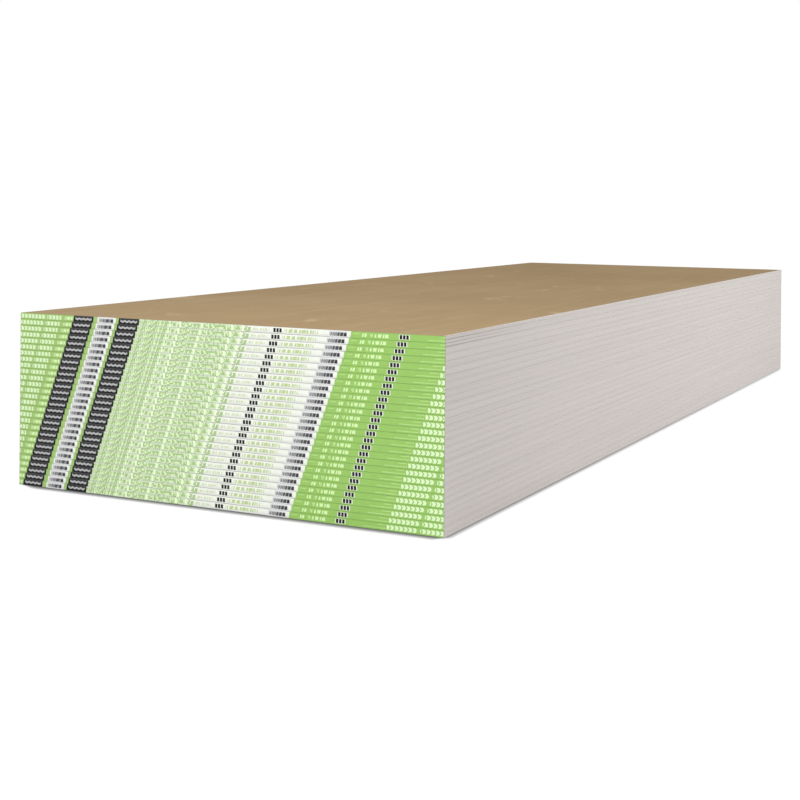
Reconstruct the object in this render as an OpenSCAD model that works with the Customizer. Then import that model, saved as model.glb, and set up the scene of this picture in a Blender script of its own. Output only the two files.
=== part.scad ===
// Stack of drywall sheets, lying flat.
// The sheets lie face to face in pairs, with their back paper outwards, and a printed paper tape
// is glued across both ends of each pair.
// The origin is the middle of the underside: X runs across the sheets, Y along them, and Z is up.

/* [Sheet] */
// Width of a sheet
sheet_w = 1219.2; // [600:0.1:1300]
// Length of a sheet
sheet_l = 3657.6; // [1200:0.1:4900]
// Thickness of a sheet
sheet_t = 7.94; // [6:0.01:16]
// Radius of the long edges on the face side, where the face paper turns down the edge
face_edge_r = 1.3; // [0.2:0.05:2]
// Radius of the long edges on the back side, where the face paper turns under the back paper
back_edge_r = 0.15; // [0.1:0.05:2]

/* [Stack] */
// Number of taped pairs, one on the other
pair_count = 28; // [2:1:40]
// Air between the two faces of a pair
face_gap = 0.1; // [0.05:0.05:1]
// Most that a pair lies off the stack's middle, to either side
side_drift = 0.2; // [0:0.1:4]
// Most that a pair lies off the stack's middle, towards either end
end_drift = 0.3; // [0:0.1:4]

/* [End tape] */
// Thickness of a tape
tape_t = 0.25; // [0.1:0.05:1]
// Bare sheet end left above and below a tape
tape_edge_margin = 0.2; // [0.1:0.05:2]
// Bare sheet end left at both ends of a tape
tape_side_margin = 1.5; // [0:0.1:20]

/* [Hidden] */
pair_t = 2 * sheet_t + face_gap;
tape_w = sheet_w - 2 * tape_side_margin;
tape_h = pair_t - 2 * tape_edge_margin;

// Straight steps in each rounded corner of a sheet's section
corner_steps = 6;

// Turn from one pair's drift to the next, so that no two neighbours lie alike
drift_turn = 137.5;

paper_tan = [0.66, 0.57, 0.44];
tape_green = [0.55, 0.76, 0.38];

function pair_name(i) = str("pair_", i < 9 ? "0" : "", i + 1);

// The middle of a pair's underside
function pair_place(i) = [
    side_drift * sin(drift_turn * i),
    end_drift * cos(drift_turn * i),
    pair_t * i
];

function corner(x, y, r, start) = [
    for (k = [0:corner_steps])
        let (a = start + 90 * k / corner_steps)
            [x + r * cos(a), y + r * sin(a)]
];

// Section across a sheet that lies on y = 0, with the radii of its lower and upper corners
function sheet_section(low_r, high_r) =
    let (half = sheet_w / 2)
        concat(
            corner(half - low_r, low_r, low_r, -90),
            corner(half - high_r, sheet_t - high_r, high_r, 0),
            corner(high_r - half, sheet_t - high_r, high_r, 90),
            corner(low_r - half, low_r, low_r, 180)
        );

module sheet(low_r, high_r) {
    rotate([90, 0, 0])
        linear_extrude(height = sheet_l, center = true)
            polygon(sheet_section(low_r, high_r));
}

// Two sheets face to face: the lower one lies face up, and the upper one face down
module pair(i) {
    color(paper_tan)
        translate(pair_place(i)) {
            sheet(back_edge_r, face_edge_r);
            translate([0, 0, sheet_t + face_gap])
                sheet(face_edge_r, back_edge_r);
        }
}

// One tape across the end of each pair, at -Y for end = -1 and at +Y for end = 1
module end_tapes(end) {
    color(tape_green)
        for (i = [0:pair_count - 1])
            translate(pair_place(i) + [0, end * (sheet_l + tape_t) / 2, pair_t / 2])
                cube([tape_w, tape_t, tape_h], center = true);
}

for (i = [0:pair_count - 1])
    pair(i);
end_tapes(-1);  // near_end_tapes
end_tapes(1);  // far_end_tapes
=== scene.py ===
"""A stack of drywall sheets in taped pairs, on a white studio floor. Lengths are in metres."""

import math
from typing import NamedTuple

import bpy
from mathutils import Matrix, Vector


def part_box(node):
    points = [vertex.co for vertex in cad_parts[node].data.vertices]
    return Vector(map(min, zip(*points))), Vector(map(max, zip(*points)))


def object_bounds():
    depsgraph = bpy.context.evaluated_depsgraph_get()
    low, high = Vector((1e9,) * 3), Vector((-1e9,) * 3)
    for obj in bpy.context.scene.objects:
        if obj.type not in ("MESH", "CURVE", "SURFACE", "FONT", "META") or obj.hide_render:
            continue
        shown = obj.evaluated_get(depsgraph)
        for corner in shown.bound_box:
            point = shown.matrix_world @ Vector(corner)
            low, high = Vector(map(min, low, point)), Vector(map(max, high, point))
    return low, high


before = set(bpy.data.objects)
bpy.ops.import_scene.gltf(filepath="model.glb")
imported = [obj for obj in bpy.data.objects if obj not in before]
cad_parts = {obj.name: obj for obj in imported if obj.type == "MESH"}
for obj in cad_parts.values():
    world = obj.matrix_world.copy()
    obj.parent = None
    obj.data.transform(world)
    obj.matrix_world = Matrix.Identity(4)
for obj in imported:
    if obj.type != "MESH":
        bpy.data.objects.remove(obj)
cad_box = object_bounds()

# Sizes, from the frame
PAIRS = sorted(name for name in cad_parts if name.startswith("pair_"))
TAPES = ("near_end_tapes", "far_end_tapes")
STACK_LOW, STACK_HIGH = cad_box
PAIR_T = (STACK_HIGH.z - STACK_LOW.z) / len(PAIRS)
SHEET_T = PAIR_T / 2
PAIR_LOW, PAIR_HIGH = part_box(PAIRS[0])
SHEET_W = PAIR_HIGH.x - PAIR_LOW.x
MM = 0.001


def srgb(red, green, blue):
    """A colour written as on a screen, 0 to 255, as the linear values that a shader takes."""
    def linear(c):
        c /= 255
        return c / 12.92 if c <= 0.04045 else ((c + 0.055) / 1.055) ** 2.4

    return (linear(red), linear(green), linear(blue), 1.0)


# Colours
KRAFT = srgb(164, 142, 110)
KRAFT_LIGHT = srgb(184, 162, 130)
KRAFT_DARK = srgb(145, 123, 93)
EDGE_PAPER = srgb(201, 195, 192)
FACE_PAPER = srgb(224, 220, 208)
# Cut ends, darker than gypsum and paper are: painted shade for the narrow gaps between and beside the tapes
SHADED_GYPSUM = srgb(172, 169, 160)
SHADED_CUT_PAPER = srgb(122, 118, 110)
PRINT_PAPER = srgb(240, 243, 233)
PRINT_LIGHT = srgb(238, 252, 218)
LARGE_LIGHT = srgb(222, 245, 198)
MARK_LIGHT = srgb(214, 243, 178)
GREEN = srgb(153, 197, 102)
LEFT_GREEN = srgb(163, 197, 118)
# Painted shade at the edges of the green rows
GREEN_SHADE = srgb(144, 186, 98)
RULE_GREEN = srgb(184, 222, 140)
PALE_GREEN = srgb(170, 198, 138)
PALE_LIGHT = srgb(219, 239, 192)
PALE_EDGE = srgb(213, 227, 198)
MARK_GREEN = srgb(189, 208, 150)
FAINT_GREEN = srgb(212, 222, 189)
BLACK = srgb(26, 26, 28)
# Painted sheen on the black print
BLACK_SHEEN = srgb(62, 62, 64)
DARK_GREY = srgb(50, 50, 54)
GREY = srgb(118, 118, 120)
ZIGZAG_GREY = srgb(182, 182, 184)
LIGHT_GREY = srgb(198, 199, 198)
BLOCK_GREY = srgb(226, 226, 227)
WHITE = srgb(255, 255, 255)
FLOOR = srgb(222, 222, 222)


class Value:
    """A number, or a vector, in a material's nodes, which arithmetic builds on."""

    def __init__(self, tree, socket):
        self.tree = tree
        self.socket = socket

    def math(self, operation, *others):
        node = self.tree.nodes.new("ShaderNodeMath")
        node.operation = operation
        feed(self.tree, node.inputs, (self, *others))
        return Value(self.tree, node.outputs[0])

    def __add__(self, other):
        return self.math("ADD", other)

    def __sub__(self, other):
        return self.math("SUBTRACT", other)

    def __mul__(self, other):
        return self.math("MULTIPLY", other)

    def __truediv__(self, other):
        return self.math("DIVIDE", other)

    def __pow__(self, other):
        return self.math("POWER", other)

    def __lt__(self, other):
        return self.math("LESS_THAN", other)

    def __gt__(self, other):
        return self.math("GREATER_THAN", other)

    def floor(self):
        return self.math("FLOOR")

    def fraction(self):
        return self.math("FRACT")

    def size(self):
        return self.math("ABSOLUTE")

    def sign(self):
        return self.math("SIGN")

    def or_more(self, other):
        return self.math("MAXIMUM", other)

    def between(self, low, high):
        """1 from low to high, and 0 elsewhere."""
        return (self > low) * (self < high)

    def scaled(self, low, high, to_low=0.0, to_high=1.0):
        """Goes smoothly from to_low at low to to_high at high, and stays there."""
        node = self.tree.nodes.new("ShaderNodeMapRange")
        node.interpolation_type = "SMOOTHSTEP"
        feed(self.tree, node.inputs, (self, low, high, to_low, to_high))
        return Value(self.tree, node.outputs["Result"])

    def from_middle(self, step):
        """Distance from the middle of the step that it is in, of steps of that length from 0."""
        return ((self / step).fraction() - 0.5).size() * step


def feed(tree, sockets, values):
    """Sets each socket to its value, or links it."""
    for socket, value in zip(sockets, values):
        if isinstance(value, Value):
            tree.links.new(value.socket, socket)
        elif socket.type == "VECTOR":
            socket.default_value = value[:3]
        else:
            socket.default_value = value


class Finish:
    """A material with one Principled shader, and the nodes that make its patterns."""

    def __init__(self, name, roughness, specular):
        self.material = bpy.data.materials.new(name)
        self.material.use_nodes = True
        self.tree = self.material.node_tree
        self.shader = self.tree.nodes["Principled BSDF"]
        self.shader.inputs["Roughness"].default_value = roughness
        self.shader.inputs["Specular IOR Level"].default_value = specular

    def node(self, kind, output, inputs=()):
        made = self.tree.nodes.new(kind)
        feed(self.tree, made.inputs, inputs)
        return Value(self.tree, made.outputs[output])

    def split(self, vector):
        node = self.tree.nodes.new("ShaderNodeSeparateXYZ")
        feed(self.tree, node.inputs, (vector,))
        return [Value(self.tree, out) for out in node.outputs]

    def place(self):
        """The point's x, y and z in the stack's frame, in metres."""
        return self.split(self.node("ShaderNodeTexCoord", "Object"))

    def facing(self):
        """The x, y and z of the surface's direction in the stack's frame."""
        return self.split(self.node("ShaderNodeTexCoord", "Normal"))

    def point(self, x, y, z):
        return self.node("ShaderNodeCombineXYZ", 0, (x, y, z))

    def noise(self, point, scale=1.0, detail=3.0, roughness=0.55):
        made = self.tree.nodes.new("ShaderNodeTexNoise")
        made.inputs["Scale"].default_value = scale
        made.inputs["Detail"].default_value = detail
        made.inputs["Roughness"].default_value = roughness
        self.tree.links.new(point.socket, made.inputs["Vector"])
        return Value(self.tree, made.outputs["Fac"])

    def chance(self, number, seed):
        """A fixed random number, from 0 to 1, for each whole number."""
        made = self.tree.nodes.new("ShaderNodeTexWhiteNoise")
        made.noise_dimensions = "2D"
        feed(self.tree, made.inputs[:1], (self.point(number, seed, 0.0),))
        return Value(self.tree, made.outputs["Value"])

    def mix(self, share, first, second):
        """The second colour over the first, by that share."""
        made = self.tree.nodes.new("ShaderNodeMix")
        made.data_type = "RGBA"
        feed(self.tree, (made.inputs["Factor"], made.inputs[6], made.inputs[7]), (share, first, second))
        return Value(self.tree, made.outputs[2])

    def tone(self, colour, level):
        """The colour, times a level."""
        made = self.tree.nodes.new("ShaderNodeVectorMath")
        made.operation = "SCALE"
        feed(self.tree, (made.inputs["Vector"], made.inputs["Scale"]), (colour, level))
        return Value(self.tree, made.outputs["Vector"])

    def show(self, colour, height, depth, strength=0.4):
        """Gives the shader its colour, and its bump from a height of that depth."""
        feed(self.tree, (self.shader.inputs["Base Color"],), (colour,))
        bump = self.tree.nodes.new("ShaderNodeBump")
        bump.inputs["Strength"].default_value = strength
        bump.inputs["Distance"].default_value = depth
        feed(self.tree, (bump.inputs["Height"],), (height,))
        self.tree.links.new(bump.outputs["Normal"], self.shader.inputs["Normal"])
        return self.material


# Back paper. A pattern's fineness is in cells to the metre, and its range is the noise from which it sets in
# and at which it is full.
NOISE_RANGE = (0.3, 0.7)
CLOUD_FINENESS = 1.7
CLOUD_SHARE = 0.36
STREAKS_ACROSS = 40.0
STREAKS_ALONG = 2.5
STREAK_RANGE = (0.45, 0.8)
STREAK_SHARE = 0.26
SCUFFS_ACROSS = 9.0
SCUFFS_ALONG = 5.0
SCUFF_SLANT = 3.0
SCUFF_RANGE = (0.62, 0.74)
SCUFF_SHARE = 0.6
GRAIN_ACROSS = 700.0
GRAIN_ALONG = 250.0
GRAIN_RANGE = (0.2, 0.8)
GRAIN_TONES = (0.94, 1.06)
GRAIN_DEPTH = 0.15 * MM
FLECK_FINENESS = 420.0
FLECK_STRETCH = 0.5
FLECK_RANGE = (0.66, 0.74)
FLECK_SHARE = 0.45


def kraft_paper(finish, x, y, z):
    """Brown back paper: cloudy, with streaks along the sheet, flecks and a few pale scuffs."""
    clouds = finish.noise(finish.point(x, y, z), CLOUD_FINENESS, detail=4.0)
    streaks = finish.noise(finish.point(x * STREAKS_ACROSS, y * STREAKS_ALONG, z), detail=4.0)
    slanted = x * SCUFFS_ACROSS + y * SCUFF_SLANT
    scuffs = finish.noise(finish.point(slanted, y * SCUFFS_ALONG, z), detail=5.0, roughness=0.6)
    grain = finish.noise(finish.point(x * GRAIN_ACROSS, y * GRAIN_ALONG, z * GRAIN_ACROSS), detail=2.0)
    flecks = finish.noise(finish.point(x, y * FLECK_STRETCH, z), FLECK_FINENESS, detail=1.0)
    colour = finish.mix(clouds.scaled(*NOISE_RANGE, 0.0, CLOUD_SHARE), KRAFT, KRAFT_DARK)
    colour = finish.mix(streaks.scaled(*STREAK_RANGE, 0.0, STREAK_SHARE), colour, KRAFT_LIGHT)
    colour = finish.mix(scuffs.scaled(*SCUFF_RANGE, 0.0, SCUFF_SHARE), colour, KRAFT_LIGHT)
    colour = finish.mix(flecks.scaled(*FLECK_RANGE, 0.0, FLECK_SHARE), colour, KRAFT_DARK)
    return finish.tone(colour, grain.scaled(*GRAIN_RANGE, *GRAIN_TONES)), grain


# Long edges. Patterns have so many cells to the metre along the stack, and up it.
SHEET_TONES = (0.992, 1.008)
SHEET_TONE_SEED = 3.0
EDGE_STREAKS_ALONG = 1.3
EDGE_STREAKS_UP = 160.0
EDGE_STREAK_TONES = (0.974, 1.022)
PATCHES_ALONG = 1.8
PATCHES_UP = 40.0
PATCH_PEAK = 1.25
NEAR_L = 0.6  # stretch at the near end where the painted shade beside the faces is stronger, the top sheets lie less tight with more painted shade in their seams, and the folds get less painted light
FOLD_LIGHT_W = 2.6 * MM  # paler stretch of an edge, where the face paper turns down; partly painted light that evens out the shade in the groove between a pair's faces
FOLD_LIGHT_SHARE = 0.15
FOLD_LIGHT_PATCH_LOSS = 0.08
FOLD_LIGHT_NEAR_LOSS = 0.04
BACK_LIGHT_W = 1.1 * MM  # paler stretch of an edge beside the sheet's back: painted light that evens out the shade at the seam between pairs
BACK_LIGHT_SHARE = 0.3
FACE_SHADE_W = 3.0 * MM  # stretch of an edge beside a pair's faces with even painted shade, which fades out towards the sheets' backs
FACE_SHADE = 0.004
FACE_SHADE_NEAR = 0.02
LOOSE_SEAM_SHADE_W = 1.3 * MM  # stretch of an edge beside a seam, on the loose sheets, with painted shade
LOOSE_SHEETS = 4
LOOSE_SEAM_SHADE = 0.02
LOOSE_SEAM_SHADE_NEAR = 0.5
NEAR_DARKENING = 0.05  # darkening of all edges towards the near end
NEAR_DARKENING_L = 0.9


def edge_fold_and_painted_light(from_face, patchy, near):
    """How pale a long edge is: most where the face paper turns down, partly as painted light in the groove,
    and beside the sheet's back, as painted light.
    """
    share = patchy * -FOLD_LIGHT_PATCH_LOSS - near * FOLD_LIGHT_NEAR_LOSS + FOLD_LIGHT_SHARE
    # The paler face paper where it turns down, with painted light in the groove
    lit_fold = from_face.scaled(0.0, FOLD_LIGHT_W, 1.0, 0.0) * share
    # Painted light beside the sheet's back
    return lit_fold + from_face.scaled(SHEET_T - BACK_LIGHT_W, SHEET_T, 0.0, BACK_LIGHT_SHARE)


def edge_shade_and_darkening(y, z, from_face, patchy, near):
    """How much a long edge is darkened: painted shade beside a pair's faces and in the loose sheets' seams,
    and darker towards the near end.
    """
    from_seam = z.from_middle(SHEET_T) * -1.0 + SHEET_T / 2
    loose_low = STACK_HIGH.z - LOOSE_SHEETS * SHEET_T
    # Painted shade in the seams between the loose top sheets
    loose = z.scaled(loose_low, loose_low + SHEET_T) * (near * LOOSE_SEAM_SHADE_NEAR + LOOSE_SEAM_SHADE)
    # Painted shade beside a pair's faces, fading out towards the sheets' backs
    darker_share = from_face.scaled(FACE_SHADE_W, SHEET_T, 1.0, 0.0) * (near * FACE_SHADE_NEAR + FACE_SHADE) * patchy
    darker_share = darker_share + from_seam.scaled(0.0, LOOSE_SEAM_SHADE_W, 1.0, 0.0) * loose
    # Darker towards the near end
    return darker_share + y.scaled(STACK_LOW.y, STACK_LOW.y + NEAR_DARKENING_L, NEAR_DARKENING, 0.0)


def edge_paper(finish, x, y, z):
    """Pale folded paper of the long edges: each sheet's own tone, streaks, paler folds with painted light,
    painted shade, and darker towards the near end.
    """
    tone = finish.chance((z / SHEET_T).floor(), SHEET_TONE_SEED).scaled(0.0, 1.0, *SHEET_TONES)
    streaks = finish.noise(finish.point(x, y * EDGE_STREAKS_ALONG, z * EDGE_STREAKS_UP), detail=4.0)
    patches = finish.noise(finish.point(x, y * PATCHES_ALONG, z * PATCHES_UP))
    patchy = patches.scaled(*NOISE_RANGE, 0.0, PATCH_PEAK)
    near = y.scaled(STACK_LOW.y, STACK_LOW.y + NEAR_L, 1.0, 0.0)
    from_face = z.from_middle(PAIR_T)
    paper = finish.mix(edge_fold_and_painted_light(from_face, patchy, near), EDGE_PAPER, FACE_PAPER)
    # Takes the painted shade and the near-end darkening off the paper's colour
    undarkened = edge_shade_and_darkening(y, z, from_face, patchy, near) * -1.0 + 1.0
    return finish.tone(paper, tone * streaks.scaled(*NOISE_RANGE, *EDGE_STREAK_TONES) * undarkened)


# Sheet
WRAP_W = 6 * MM  # face paper that shows on the back, beside each long edge
WRAP_WAVE = 2 * MM
WRAP_WAVES_ALONG = 25.0
PAPER_T = 0.5 * MM
PORE_FINENESS = 700.0
PORE_TONES = (0.9, 1.04)
TURNED = 0.6  # a surface is a side or an end where its direction goes that way by more than this


def sheet_finish():
    finish = Finish("drywall_sheet", roughness=0.9, specular=0.0)
    x, y, z = finish.place()
    to_side, to_end, _ = finish.facing()

    kraft, grain = kraft_paper(finish, x, y, z)
    ragged = finish.noise(finish.point(x, y * WRAP_WAVES_ALONG, z), detail=2.0)
    wrapped = x.size() > ragged * WRAP_WAVE + (SHEET_W / 2 - WRAP_W)
    back = finish.mix(wrapped, kraft, EDGE_PAPER)
    is_face = z.from_middle(PAIR_T) < SHEET_T / 2
    broad = finish.mix(is_face, back, FACE_PAPER)

    pores = finish.noise(finish.point(x, y, z), PORE_FINENESS, detail=2.0).scaled(*NOISE_RANGE, *PORE_TONES)
    skin = z.from_middle(SHEET_T) > SHEET_T / 2 - PAPER_T
    # Cut ends with painted shade, for the narrow gaps between and beside the tapes
    shaded_cut_end = finish.mix(skin, finish.tone(SHADED_GYPSUM, pores), SHADED_CUT_PAPER)

    colour = finish.mix(to_side.size() > TURNED, broad, edge_paper(finish, x, y, z))
    colour = finish.mix(to_end.size() > TURNED, colour, shaded_cut_end)
    return finish.show(colour, grain, GRAIN_DEPTH)


class BarPrint(NamedTuple):
    """Uneven bars: where they are, the least width, their heights, and the share that is filled."""

    spans: tuple
    cell: float
    rise: tuple
    share: float
    seed: float
    colour: tuple


# Print on the tapes. Places are in millimetres from the stack's middle, along the top row, and a rise is
# from and to which height in a row. Each lower row starts further to the left, so that the bands lean in
# steps.
ROW_H = PAIR_T / MM
ROW_SHIFT = 5.95
STEP_LEAN = 0.4  # share of the lean that is within a row
BAR_LEAN = 0.3
CHEVRON_LEAN = 0.7

# Bands, from left to right
LEFT_GREEN_END = -435.0
BLACK_BANDS = ((-435.0, -371.5), (-292.5, -229.0))
THIN_GREEN_BANDS = ((-371.5, -359.0), (-301.0, -292.5))
PALE_BAND = (-229.0, 73.0)
RIGHT_GREEN_START = 370.0
PAPER_SHADE_RISE = (1.0, 8.5)
PAPER_SHADE_SHARE = 0.45  # painted shade on the bare paper at the foot of a row
PAPER_EDGE_SHADE_H = 0.8  # painted shade along both edges of a row, where the paper is bare
GREEN_SHADE_H = 2.2  # painted shade along both edges of a row, where it is green
BLACK_SHEEN_RISE = (8.0, 15.0)  # painted sheen: where the black turns paler, towards the top of a row
ZIGZAG_MARGIN = 6.0
ZIGZAG_PITCH = 13.0
ZIGZAG_SWING = 1.4
ZIGZAG_W = 5.0

# Chevrons on the green
LARGE_MARKS = ((-700.0, -526.0), (-520.5, -475.0), (627.0, 704.0), (711.0, 800.0))
LARGE_MARK_STEP = 11.4
LARGE_MARK_W = 8.0
LARGE_MARK_RISE = (2.9, 13.1)

# Grey blocks, which get darker to the right
SHADED_BLOCKS = ((-356.0, -308.5), (312.0, 360.0))
BLOCK_LEFT_MARGIN = 2.0
BLOCK_RIGHT_MARGIN = 1.0
BLOCK_FADE_IN = (0.5, 6.0)
BLOCK_FADE_OUT = (8.0, 13.5)
BLOCK_SOFT_SHARE = 0.6
BLOCK_CELL = 1.9
BLOCK_RISE = (2.6, 11.2)
BLOCK_LEFT_SHARE = 0.45
BLOCK_SHARE_GAIN = 0.5
BLOCK_SEED = 5.0

# Pale band, and the sparse print at its end
PALE_ROWS = (
    BarPrint((PALE_BAND,), 2.8, (0.0, 4.0), 0.7, 11.0, PALE_EDGE),
    BarPrint((PALE_BAND,), 2.8, (4.0, 8.0), 0.32, 12.0, PALE_LIGHT),
    BarPrint((PALE_BAND,), 2.8, (8.0, 12.0), 0.32, 13.0, PALE_LIGHT),
    BarPrint((PALE_BAND,), 2.8, (12.0, 16.0), 0.7, 14.0, PALE_EDGE),
)
PALE_END = ((79.0, 101.0),)
PALE_END_ROWS = (
    BarPrint(PALE_END, 2.6, (0.0, 4.0), 0.5, 51.0, PALE_GREEN),
    BarPrint(PALE_END, 2.6, (4.0, 8.0), 0.5, 52.0, PALE_GREEN),
    BarPrint(PALE_END, 2.6, (8.0, 12.0), 0.5, 53.0, PALE_GREEN),
    BarPrint(PALE_END, 2.6, (12.0, 16.0), 0.5, 54.0, PALE_GREEN),
)
PALE_LINE = (-137.5, -134.0)
PALE_COLUMNS = (-108.0, -45.0, 43.0, 73.0)
PALE_COLUMN_W = 6.5
PALE_COLUMN_RISE = (1.4, 14.6)
SHORT_COLUMNS = (-167.0, -90.0, -24.0, -11.0, 28.0)
SHORT_COLUMN_W = 4.5
SHORT_COLUMN_RISE = (3.6, 12.4)

# Small marks
FAINT_MARKS = ((103.0, 152.0),)
GREEN_MARKS = ((191.0, 227.0), (232.0, 257.0), (261.0, 283.0))
LIGHT_MARKS = ((-464.0, -437.0), (398.0, 414.0), (421.0, 436.0), (440.0, 467.0))
SMALL_MARKS = (
    BarPrint(FAINT_MARKS, 1.9, (5.0, 10.6), 0.6, 21.0, FAINT_GREEN),
    BarPrint(GREEN_MARKS, 1.6, (4.0, 11.8), 0.62, 31.0, MARK_GREEN),
    BarPrint(LIGHT_MARKS, 1.9, (4.0, 11.8), 0.58, 41.0, MARK_LIGHT),
)
RULES = ((376.0, 392.0, 9.4), (566.0, 624.0, 3.6), (602.0, 623.0, 11.0))  # start, end and height in the row
RULE_W = 1.7
THREE_BARS = (162.0, 495.5)
THREE_BARS_PITCH = 8.2
THREE_BARS_W = 6.3
THREE_BARS_RISE = (3.2, 12.8)
THREE_BARS_PAPER = (493.5, 520.5)  # bare paper round the bars on the green
THREE_BARS_PAPER_RISE = (2.6, 13.4)

# Unevenness of the ink and the paper, in cells to the metre
INK_FINENESS = 60.0
INK_RANGE = (0.25, 0.75)
INK_TONES = (0.97, 1.02)
RIPPLES_ACROSS = 14.0
RIPPLES_UP = 60.0
RIPPLE_DEPTH = 0.6 * MM


class TapePrint(Finish):
    """Paper with printed bands, and plain marks on them."""

    def __init__(self):
        super().__init__("printed_tape", roughness=0.6, specular=0.25)
        self.x, self.y, self.z = self.place()
        row = (self.z / PAIR_T).floor()
        self.up = (self.z / PAIR_T).fraction() * ROW_H
        # The far end has the same print, turned half round the upright axis
        self.along = self.x * self.y.sign() * (-1 / MM) + (row * -1.0 + (len(PAIRS) - 1)) * ROW_SHIFT
        self.leaning = self.along + (self.up * (-1 / ROW_H) + 0.5) * (ROW_SHIFT * STEP_LEAN)
        self.colour = PRINT_PAPER

    def ink(self, share, colour):
        self.colour = self.mix(share, self.colour, colour)

    def band(self, start, end):
        return self.leaning.between(start, end)

    def patch(self, span, rise):
        """An upright rectangle in each row."""
        return self.along.between(*span) * self.up.between(*rise)

    def bars(self, span, cell, rise, share, seed):
        """Leaning bars of uneven width: each cell along the span is filled, or not, by chance."""
        cells = ((self.along - self.up * BAR_LEAN) / cell).floor()
        return (self.chance(cells, seed) < share) * self.patch(span, rise)

    def ink_bars(self, marks):
        for span in marks.spans:
            self.ink(self.bars(span, marks.cell, marks.rise, marks.share, marks.seed), marks.colour)

    def chevrons(self, span, pitch, width, rise):
        low, high = rise
        steps = (self.along + (self.up - (low + high) / 2).size() * CHEVRON_LEAN) / pitch
        return (steps.fraction() < width / pitch) * self.patch(span, rise)

    def zigzag(self, span, pitch, swing, width):
        """A zigzag line along the row's middle."""
        rise = ((self.along / pitch).fraction() - 0.5).size() * (4 * swing) - swing
        return ((self.up - ROW_H / 2 - rise).size() < width / 2) * self.along.between(*span)

    def three_bars(self, start, pitch, width, rise):
        steps = (self.along - start) / pitch
        return (steps.fraction() < width / pitch) * steps.between(0.0, 3.0) * self.up.between(*rise)


def print_bands(tape):
    from_middle = (tape.up - ROW_H / 2).size()
    # Painted shade at the foot of each row, where the paper is bare
    tape.ink(tape.up.scaled(*PAPER_SHADE_RISE, PAPER_SHADE_SHARE, 0.0), LIGHT_GREY)
    # Painted shade along both edges of each row, where the paper is bare
    tape.ink(from_middle > ROW_H / 2 - PAPER_EDGE_SHADE_H, LIGHT_GREY)
    # Painted shade along both edges of each green row
    shade = from_middle.scaled(ROW_H / 2 - GREEN_SHADE_H, ROW_H / 2)
    left_green = tape.mix(shade, LEFT_GREEN, GREEN_SHADE)
    tape.ink(tape.leaning < LEFT_GREEN_END, left_green)
    tape.ink(tape.leaning > RIGHT_GREEN_START, tape.mix(shade, GREEN, GREEN_SHADE))
    for start, end in THIN_GREEN_BANDS:
        tape.ink(tape.band(start, end), left_green)
    # The pale band starts at a leaning edge, and ends at an upright one
    start, end = PALE_BAND
    tape.ink((tape.leaning > start) * (tape.along < end), PALE_GREEN)
    for start, end in BLACK_BANDS:
        # Painted sheen towards the top of each row of black
        tape.ink(tape.band(start, end), tape.mix(tape.up.scaled(*BLACK_SHEEN_RISE), BLACK, BLACK_SHEEN))
        span = (start + ZIGZAG_MARGIN, end - ZIGZAG_MARGIN)
        tape.ink(tape.zigzag(span, ZIGZAG_PITCH, ZIGZAG_SWING, ZIGZAG_W), ZIGZAG_GREY)


def print_large_marks(tape):
    for span in LARGE_MARKS:
        tape.ink(tape.chevrons(span, LARGE_MARK_STEP, LARGE_MARK_W, LARGE_MARK_RISE), LARGE_LIGHT)


def print_blocks(tape):
    for number, (start, end) in enumerate(SHADED_BLOCKS):
        tape.ink(tape.along.between(start, end), BLOCK_GREY)
        span = (start + BLOCK_LEFT_MARGIN, end - BLOCK_RIGHT_MARGIN)
        soft = tape.up.scaled(*BLOCK_FADE_IN) * tape.up.scaled(*BLOCK_FADE_OUT, 1.0, 0.0)
        tape.ink(tape.along.between(*span) * soft * BLOCK_SOFT_SHARE, GREY)
        to_right = tape.along.scaled(start, end)
        share = to_right * BLOCK_SHARE_GAIN + BLOCK_LEFT_SHARE
        bars = tape.bars(span, BLOCK_CELL, BLOCK_RISE, share, BLOCK_SEED + number)
        tape.ink(bars, tape.mix(to_right, GREY, DARK_GREY))


def print_pale_band(tape):
    for row in PALE_ROWS + PALE_END_ROWS:
        tape.ink_bars(row)
    tape.ink(tape.band(*PALE_LINE), PRINT_LIGHT)
    for start in PALE_COLUMNS:
        tape.ink(tape.patch((start, start + PALE_COLUMN_W), PALE_COLUMN_RISE), PRINT_LIGHT)
    for start in SHORT_COLUMNS:
        tape.ink(tape.patch((start, start + SHORT_COLUMN_W), SHORT_COLUMN_RISE), PALE_LIGHT)


def print_small_marks(tape):
    for marks in SMALL_MARKS:
        tape.ink_bars(marks)
    for start, end, low in RULES:
        tape.ink(tape.patch((start, end), (low, low + RULE_W)), RULE_GREEN)
    tape.ink(tape.patch(THREE_BARS_PAPER, THREE_BARS_PAPER_RISE), PRINT_PAPER)
    for start in THREE_BARS:
        tape.ink(tape.three_bars(start, THREE_BARS_PITCH, THREE_BARS_W, THREE_BARS_RISE), BLACK)


def tape_finish():
    tape = TapePrint()
    print_bands(tape)
    print_large_marks(tape)
    print_blocks(tape)
    print_pale_band(tape)
    print_small_marks(tape)
    uneven = tape.noise(tape.point(tape.x, tape.y, tape.z), INK_FINENESS, detail=4.0)
    colour = tape.tone(tape.colour, uneven.scaled(*INK_RANGE, *INK_TONES))
    ripples = tape.noise(tape.point(tape.x * RIPPLES_ACROSS, tape.y, tape.z * RIPPLES_UP))
    return tape.show(colour, ripples, RIPPLE_DEPTH)


def dress():
    sheet = sheet_finish()
    tape = tape_finish()
    for name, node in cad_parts.items():
        node.material_slots[0].material = tape if name in TAPES else sheet


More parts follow.
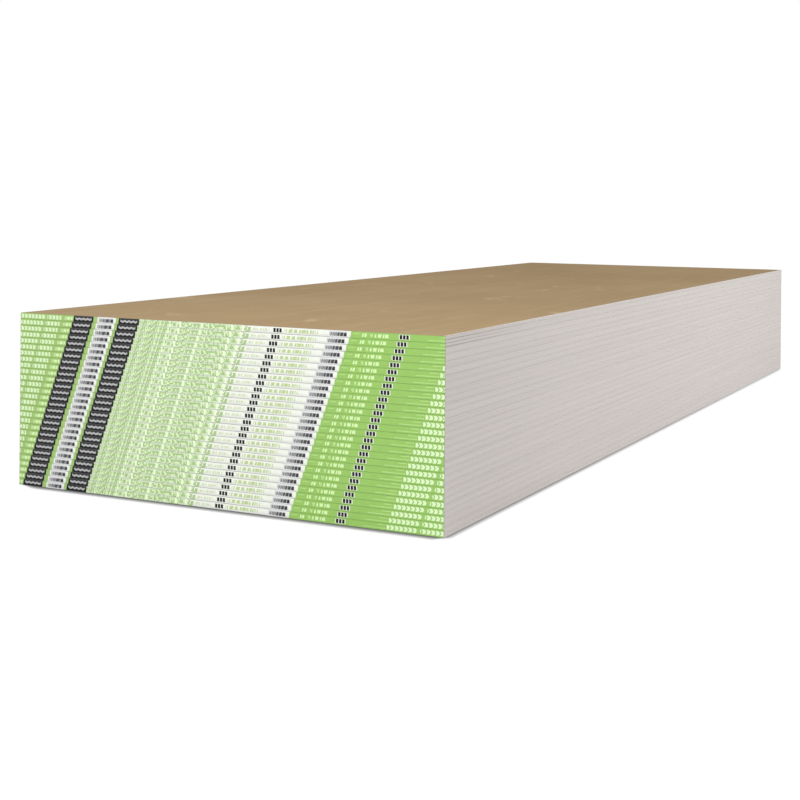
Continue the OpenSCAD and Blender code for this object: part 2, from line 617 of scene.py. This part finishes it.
# Studio
FLOOR_SIZE = 60.0
WORLD_LEVEL = 0.83
FLOOR_WHITE = 1.05  # makes up for the share of the floor that is lit by the lamps
FLOOR_WHITE_SHARE = 0.9
NEAR_SHADOW = (0.036, 4.2)  # reach, and how dark it gets, in front of the near end
SIDE_SHADOW = (0.022, 2.6)  # the same on the right
CORNER_L = 0.02  # stretch in front of the near end where its shadow turns into the one on the right
HIDDEN_REACH = 0.1  # share of the reach that is left beside the left side and the far end
LEFT_L = 0.08  # stretch beside the left side over which the reach grows
FAR_L = 0.1  # stretch beside the far end over which the reach shrinks
FAR_DEPTH = 0.5  # share of the darkness that is left at the far end
SHADOW_SAMPLES = 16


class Lamp(NamedTuple):
    name: str
    place: tuple
    target: tuple
    size: float
    watts: float


LAMPS = (
    Lamp("key", place=(0.2, -5.0, 3.6), target=(0.0, -1.6, 0.3), size=3.0, watts=58.5),
    Lamp("fill", place=(4.2, 1.1, 1.5), target=(0.6, 0.6, 0.2), size=2.0, watts=55.0),
    Lamp("top", place=(0.7, -2.3, 2.0), target=(0.4, -1.7, 0.4), size=1.0, watts=9.0),
)


def seen(tree):
    """1 for what the camera sees straight, in a gloss or through glass, and 0 for other light."""
    path = tree.nodes.new("ShaderNodeLightPath")
    camera, gloss, through = (
        Value(tree, path.outputs[name]) for name in ("Is Camera Ray", "Is Glossy Ray", "Is Transmission Ray")
    )
    return camera.or_more(gloss).or_more(through)


def make_world():
    """White where it is seen, and a little darker as light."""
    world = bpy.data.worlds.new("studio")
    world.use_nodes = True
    tree = world.node_tree
    background = tree.nodes["Background"]
    background.inputs["Color"].default_value = WHITE
    feed(tree, (background.inputs["Strength"],), (seen(tree).scaled(0.0, 1.0, WORLD_LEVEL, 1.0),))
    bpy.context.scene.world = world


def contact_shadow(finish):
    """1 on the open floor, and less close to the stack."""
    close = finish.tree.nodes.new("ShaderNodeAmbientOcclusion")
    close.samples = SHADOW_SAMPLES
    x, y, _ = finish.place()
    reach, depth = (
        x.scaled(STACK_HIGH.x - CORNER_L, STACK_HIGH.x, near, side)
        for near, side in zip(NEAR_SHADOW, SIDE_SHADOW)
    )
    reach = reach * x.scaled(STACK_LOW.x, STACK_LOW.x + LEFT_L, HIDDEN_REACH, 1.0)
    reach = reach * y.scaled(STACK_HIGH.y - FAR_L, STACK_HIGH.y, 1.0, HIDDEN_REACH)
    depth = depth * y.scaled(STACK_LOW.y, STACK_HIGH.y, 1.0, FAR_DEPTH)
    feed(finish.tree, (close.inputs["Distance"],), (reach,))
    return Value(finish.tree, close.outputs["AO"]) ** depth


def make_floor():
    """A white floor that keeps the lamps' shadow, and is dark close to the stack."""
    bpy.ops.mesh.primitive_plane_add(size=FLOOR_SIZE)
    floor = bpy.context.object
    floor.name = "floor"
    finish = Finish("floor", roughness=1.0, specular=0.0)
    tree = finish.tree
    finish.shader.inputs["Base Color"].default_value = FLOOR
    white = tree.nodes.new("ShaderNodeEmission")
    feed(tree, (white.inputs["Strength"],), (contact_shadow(finish) * FLOOR_WHITE,))
    both = tree.nodes.new("ShaderNodeMixShader")
    feed(tree, (both.inputs[0],), (seen(tree) * FLOOR_WHITE_SHARE,))
    tree.links.new(finish.shader.outputs[0], both.inputs[1])
    tree.links.new(white.outputs[0], both.inputs[2])
    tree.links.new(both.outputs[0], tree.nodes["Material Output"].inputs["Surface"])
    floor.data.materials.append(finish.material)


def make_light(lamp):
    data = bpy.data.lights.new(lamp.name, "AREA")
    data.size = lamp.size
    data.energy = lamp.watts
    light = bpy.data.objects.new(lamp.name, data)
    light.visible_camera = False
    light.location = lamp.place
    light.rotation_euler = (Vector(lamp.target) - Vector(lamp.place)).to_track_quat("-Z", "Y").to_euler()
    bpy.context.collection.objects.link(light)


# Camera, fitted to the edges in the photograph: it looks level, and the frame is shifted down
CAMERA_PLACE = Vector((1.906, STACK_LOW.y - 2.826, 0.747))
CAMERA_YAW = math.radians(26.56)
CAMERA_ROLL = math.radians(0.49)
CAMERA_LENS_MM = 63.04
SENSOR_MM = 36.0
CAMERA_SHIFT_Y = -0.249
CAMERA_FAR = 200.0


def make_camera():
    data = bpy.data.cameras.new("camera")
    data.sensor_width = SENSOR_MM
    data.lens = CAMERA_LENS_MM
    data.shift_y = CAMERA_SHIFT_Y
    data.clip_end = CAMERA_FAR
    camera = bpy.data.objects.new("camera", data)
    level = Matrix.Rotation(CAMERA_YAW, 4, "Z") @ Matrix.Rotation(math.pi / 2, 4, "X")
    camera.matrix_world = Matrix.Translation(CAMERA_PLACE) @ level @ Matrix.Rotation(CAMERA_ROLL, 4, "Z")
    bpy.context.collection.objects.link(camera)
    bpy.context.scene.camera = camera


dress()
make_world()
make_floor()
for lamp in LAMPS:
    make_light(lamp)
make_camera()
bpy.context.scene.view_settings.view_transform = "Standard"
